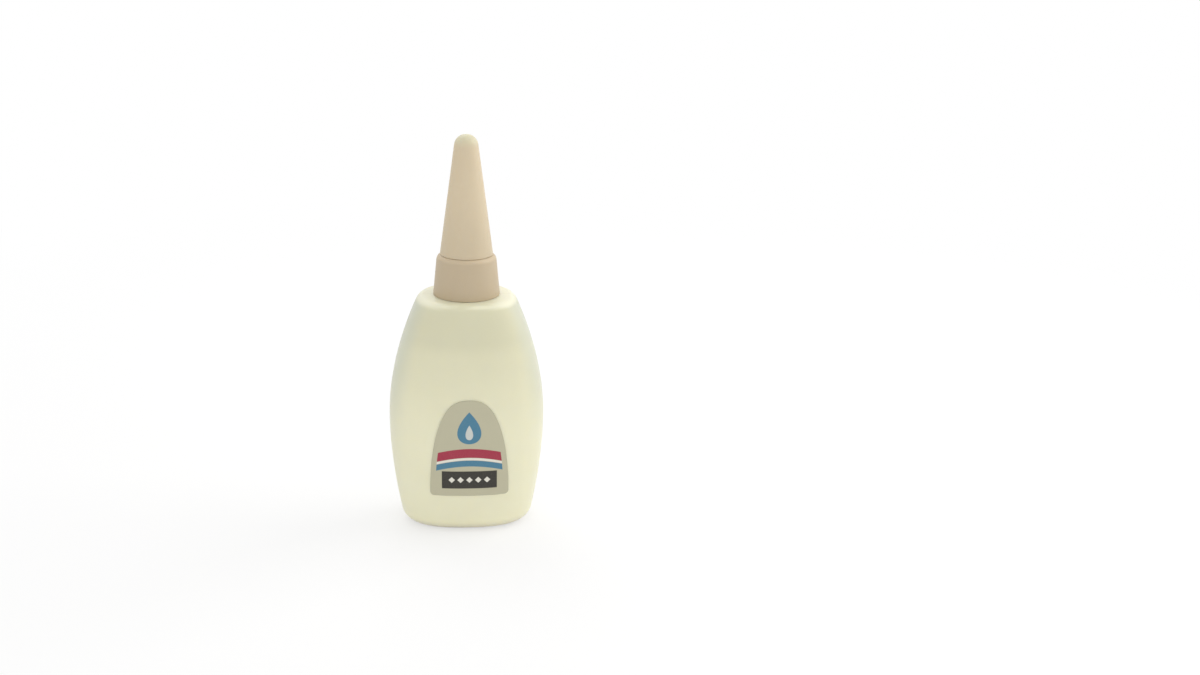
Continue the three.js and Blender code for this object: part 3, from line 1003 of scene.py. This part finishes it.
class MakeWasher(bpy.types.Operator):
    """Model the soft washer under the nozzle's deck"""

    bl_idname = "glue_bottle.make_washer"
    bl_label = "Washer"

    def execute(self, context):
        closure = sizes("closure")
        outer = WASHER_HIGH.x
        inner = sizes("neck").radius - sizes("neck").wall - 2 * closure.edge_round
        edge = closure.edge_round
        piece = turned("foam_washer", [
            (inner, WASHER_LOW.z, edge),
            (outer, WASHER_LOW.z, edge),
            (outer, WASHER_HIGH.z, edge),
            (inner, WASHER_HIGH.z, edge),
            (inner, WASHER_LOW.z, 0),
        ])
        closed_foam(piece)
        dress(piece, "washer", "washer_foam", "sealing_washer")
        return {"FINISHED"}


def cap_inner_radius(z):
    """Inside of the cap: a straight taper from its foot to the ceiling over the spout's tip."""
    closure = sizes("closure")
    foot = closure.seat_radius + closure.cap_clearance
    ceiling = PIN_HIGH.x + closure.pin_clearance + closure.tip_wall + closure.cap_tip_clearance
    share = (z - CAP_LOW.z) / (NOZZLE_HIGH.z + closure.cap_tip_gap - CAP_LOW.z)
    return foot + (ceiling - foot) * share


class MakeNozzle(bpy.types.Operator):
    """Model the screw-on nozzle: collar, seat for the cap, and tapered spout"""

    bl_idname = "glue_bottle.make_nozzle"
    bl_label = "Nozzle"

    def execute(self, context):
        closure = sizes("closure")
        neck = sizes("neck")
        edge = closure.edge_round
        skirt = neck.radius + neck.depth + neck.clearance
        top_radius = skirt + closure.collar_wall
        foot = sizes("flask").shoulder_height + closure.seat_gap
        collar_top = CAP_LOW.z - closure.cap_gap
        seat_top = collar_top + closure.seat_height
        deck_underside = WASHER_HIGH.z + closure.seal_gap
        seat_foot_radius = cap_inner_radius(collar_top) - closure.cap_clearance
        seat_top_radius = cap_inner_radius(seat_top) - closure.cap_clearance
        spout_radius = seat_top_radius - closure.seat_ledge
        tip_bore = PIN_HIGH.x + closure.pin_clearance
        piece = turned("nozzle_moulding", [
            (skirt, foot, edge),
            (top_radius + closure.collar_flare, foot, edge),
            (top_radius, collar_top, closure.collar_edge),
            (seat_foot_radius, collar_top, edge),
            (seat_top_radius, seat_top, 2 * edge),
            (spout_radius, seat_top, 2 * edge),
            (tip_bore + closure.tip_wall, NOZZLE_HIGH.z, edge),
            (tip_bore, NOZZLE_HIGH.z, edge),
            (spout_radius - closure.spout_wall, deck_underside, 2 * edge),
            (skirt, deck_underside, 2 * edge),
            (skirt, foot, 0),
        ])
        start = sizes("flask").shoulder_height + neck.start - neck.pitch / 2
        unite(piece, thread_ridge(skirt, neck.radius + neck.clearance, start, neck.collar_turns))
        tones = sizes("colours")
        closure_plastic(piece, "nozzle_plastic", tones.collar, tones.collar)
        dress(piece, "nozzle", "closure_plastic", "dropper_nozzle")
        return {"FINISHED"}


class MakeCap(bpy.types.Operator):
    """Model the conical cap, hollow but for the end that holds the pin"""

    bl_idname = "glue_bottle.make_cap"
    bl_label = "Cap"

    def execute(self, context):
        closure = sizes("closure")
        edge = closure.edge_round
        ceiling = NOZZLE_HIGH.z + closure.cap_tip_gap
        socket = PIN_HIGH.x + closure.pin_fit
        socket_top = PIN_HIGH.z + closure.pin_fit
        foot = CAP_LOW.z - closure.cap_gap + closure.cap_seat
        shoulder = CAP_HIGH.z - closure.cap_dome
        end_radius = cap_inner_radius(shoulder) + closure.cap_wall
        piece = turned("cap_cone", [
            (0, socket_top, 0),
            (socket, socket_top, 0),
            (socket, ceiling, edge),
            (cap_inner_radius(ceiling), ceiling, 2 * edge),
            (cap_inner_radius(foot), foot, edge),
            (cap_inner_radius(foot) + closure.cap_wall, foot, closure.cap_edge),
            (end_radius, CAP_HIGH.z, closure.cap_dome),
            (0, CAP_HIGH.z, 0),
        ])
        tones = sizes("colours")
        closure_plastic(piece, "cap_plastic", tones.cap, tones.cap_tip)
        dress(piece, "cap", "closure_plastic", "cone_cap")
        return {"FINISHED"}


class MakePin(bpy.types.Operator):
    """Model the steel pin in the cap"""

    bl_idname = "glue_bottle.make_pin"
    bl_label = "Pin"

    def execute(self, context):
        radius = PIN_HIGH.x
        piece = turned("clearing_pin", [
            (0, PIN_LOW.z, 0),
            (radius, PIN_LOW.z + 3 * radius, radius),
            (radius, PIN_HIGH.z, radius / 4),
            (0, PIN_HIGH.z, 0),
        ])
        drawn_steel(piece)
        dress(piece, "cap", "pin_steel", "anti_clog_pin")
        return {"FINISHED"}


class MakeLabel(bpy.types.Operator):
    """Model the arch-topped label, laid on the front of the flask"""

    bl_idname = "glue_bottle.make_label"
    bl_label = "Label"

    def execute(self, context):
        label = sizes("label")
        rows = self.rows(label)
        piece = open_mesh("paper_label")
        bottom, half = rows[0]
        middle = ((LABEL_HIGH.x + LABEL_LOW.x) / 2, 0, 0)
        first_point(middle[0] - half, LABEL_LOW.y, LABEL_LOW.z + bottom)
        extrude(2 * half, 0, 0)
        bpy.ops.mesh.select_all(action="SELECT")
        bpy.ops.mesh.subdivide(number_cuts=label.columns - 1)
        for (here, half), (there, next_half) in zip(rows, rows[1:]):
            extrude(0, 0, there - here)
            scale(next_half / half, 1, middle)
        top = LABEL_HIGH.z - LABEL_LOW.z - rows[-1][0]
        extrude(0, 0, top)
        bpy.ops.mesh.merge(type="CENTER")
        bpy.ops.mesh.select_all(action="SELECT")
        bpy.ops.mesh.normals_make_consistent(inside=False)
        bpy.ops.object.mode_set(mode="OBJECT")
        apply_modifier(
            piece,
            "SHRINKWRAP",
            target=bpy.data.objects["flask"],
            wrap_method="PROJECT",
            use_project_y=True,
            use_positive_direction=True,
            wrap_mode="ABOVE_SURFACE",
            offset=label.gap,
        )
        apply_modifier(piece, "SOLIDIFY", thickness=label.thickness, offset=1)
        smooth(piece)
        printed_label(piece)
        dress(piece, "bottle", "label_paper", "front_label")
        return {"FINISHED"}

    def rows(self, label):
        """Rows of the label as (height, half width), round its lower corners and up its arch to a point."""
        height = LABEL_HIGH.z - LABEL_LOW.z
        half = (LABEL_HIGH.x - LABEL_LOW.x) / 2

        def arch(h):
            return half * max(0, 1 - (h / height) ** label.arch_power) ** label.arch_ease

        rows = []
        corner_rows = sizes("flask").corner_rings
        for i in range(corner_rows):
            turn = QUARTER_TURN * i / corner_rows
            h = label.corner * (1 - math.cos(turn))
            rows.append((h, arch(h) - label.corner * (1 - math.sin(turn))))
        for i in range(label.rows):
            rise = math.sin(QUARTER_TURN * i / label.rows) ** (2 / label.arch_power)
            h = label.corner + (height - label.corner) * rise
            rows.append((h, arch(h)))
        return rows


# Place, side and tone of each lamp
LAMPS = {
    "key": ((0.48, 0.12, 0.36), 0.45, (1, 0.985, 0.95)),
    "top": ((-0.12, 0.34, 0.5), 0.4, WHITE_LIGHT),
    "front": ((-0.1, -0.64, 0.32), 0.6, WHITE_LIGHT),
}


class MakeStage(bpy.types.Operator):
    """Set out the floor, the light and the camera"""

    bl_idname = "glue_bottle.make_stage"
    bl_label = "Stage"

    def execute(self, context):
        stage = sizes("stage")
        self.add_floor(stage)
        self.add_sky(context.scene, stage)
        for name, (place, size, tone) in LAMPS.items():
            self.add_lamp(f"{name}_lamp", place, size, getattr(stage, f"{name}_power"), tone)
        context.scene.camera = self.add_camera(stage)
        context.scene.view_settings.view_transform = "Standard"
        return {"FINISHED"}

    def seen(self, finish):
        """1 for the rays that show a surface to the camera, straight or in a gloss or a glass."""
        kinds = ("Is Camera Ray", "Is Glossy Ray", "Is Transmission Ray")
        rays = [finish.node("ShaderNodeLightPath", output=kind) for kind in kinds]
        return rays[0].most(rays[1]).most(rays[2])

    def add_floor(self, stage):
        bpy.ops.object.select_all(action="DESELECT")
        bpy.ops.mesh.primitive_plane_add(size=FLOOR_SIZE)
        floor = bpy.context.active_object
        floor.name = "floor"
        finish = new_finish(floor, "pale_floor")
        tone = finish.tone(sizes("colours").floor)
        matte = finish.node("ShaderNodeBsdfDiffuse", {}, {"Color": tone})
        white = finish.node("ShaderNodeEmission", {}, {"Color": WHITE, "Strength": 1.0})
        vector, *_ = finish.place()
        distance = finish.node("ShaderNodeVectorMath", {"operation": "LENGTH"}, {0: vector}, "Value")
        share = self.seen(finish) * distance.rise(stage.floor_near, stage.floor_far, bottom=stage.floor_glow)
        finish.output(finish.node("ShaderNodeMixShader", {}, {0: share, 1: matte, 2: white}))

    def add_sky(self, scene, stage):
        scene.world = bpy.data.worlds.new("studio_sky")
        scene.world.use_nodes = True
        finish = Finish(scene.world.node_tree)
        light = finish.node("ShaderNodeBackground", {}, {"Color": WHITE, "Strength": stage.sky})
        white = finish.node("ShaderNodeBackground", {}, {"Color": WHITE, "Strength": 1.0})
        sky = finish.node("ShaderNodeMixShader", {}, {0: self.seen(finish), 1: light, 2: white})
        finish.output(sky, "ShaderNodeOutputWorld")

    def add_lamp(self, name, place, size, power, tone):
        middle = Vector((0, 0, sizes("stage").aim_height))
        aim = (middle - Vector(place)).to_track_quat("-Z", "Y").to_euler()
        bpy.ops.object.light_add(type="AREA", location=place, rotation=aim)
        lamp = bpy.context.active_object
        lamp.name = name
        lamp.data.size = size
        lamp.data.energy = power
        lamp.data.color = tone

    def add_camera(self, stage):
        """Sets the camera out from the aim point, then turns it until that point falls on the aim pixel."""
        back = Vector((
            math.sin(stage.azimuth) * math.cos(stage.elevation),
            -math.cos(stage.azimuth) * math.cos(stage.elevation),
            math.sin(stage.elevation),
        ))
        yaw = math.atan((stage.aim_pixel[0] - PHOTO_WIDTH / 2) / stage.focal_pixels)
        pitch = math.atan((stage.aim_pixel[1] - PHOTO_HEIGHT / 2) / stage.focal_pixels)
        look = (-back).to_track_quat("-Z", "Y")
        turn = Euler((pitch, yaw, stage.roll), "ZXY").to_quaternion()
        place = Vector((0, 0, stage.aim_height)) + back * stage.distance
        bpy.ops.object.camera_add(location=place, rotation=(look @ turn).to_euler())
        camera = bpy.context.active_object
        camera.data.sensor_width = SENSOR_WIDTH
        camera.data.lens = stage.focal_pixels / PHOTO_WIDTH * SENSOR_WIDTH
        camera.data.clip_start = NEAR_CLIP
        return camera


PIECES = (MakeFlask, MakeGlue, MakeFoil, MakeWasher, MakeNozzle, MakeCap, MakePin, MakeLabel, MakeStage)
GROUPS = {
    "flask": FlaskSizes,
    "neck": NeckSizes,
    "closure": ClosureSizes,
    "label": LabelSizes,
    "colours": Colours,
    "stage": StageSettings,
}


class BottlePanel(bpy.types.Panel):
    """Sizes, colours and pieces of the bottle"""

    bl_idname = "VIEW3D_PT_glue_bottle"
    bl_label = "Glue bottle"
    bl_space_type = "VIEW_3D"
    bl_region_type = "UI"
    bl_category = "Glue bottle"

    def draw(self, context):
        for piece in PIECES:
            self.layout.operator(piece.bl_idname)
        for group in GROUPS:
            box = self.layout.box()
            box.label(text=group.capitalize())
            for name in GROUPS[group].__annotations__:
                box.prop(sizes(group), name)


def register():
    for kind in (*GROUPS.values(), *PIECES, BottlePanel):
        bpy.utils.register_class(kind)
    for group, kind in GROUPS.items():
        setattr(bpy.types.Scene, f"glue_{group}", PointerProperty(type=kind))


def unregister():
    for group in GROUPS:
        delattr(bpy.types.Scene, f"glue_{group}")
    for kind in reversed((*GROUPS.values(), *PIECES, BottlePanel)):
        bpy.utils.unregister_class(kind)


def main():
    register()
    bpy.ops.glue_bottle.make_flask()
    bpy.ops.glue_bottle.make_glue()
    bpy.ops.glue_bottle.make_foil()
    bpy.ops.glue_bottle.make_washer()
    bpy.ops.glue_bottle.make_nozzle()
    bpy.ops.glue_bottle.make_cap()
    bpy.ops.glue_bottle.make_pin()
    bpy.ops.glue_bottle.make_label()
    bpy.ops.glue_bottle.make_stage()


if __name__ == "__main__":
    main()
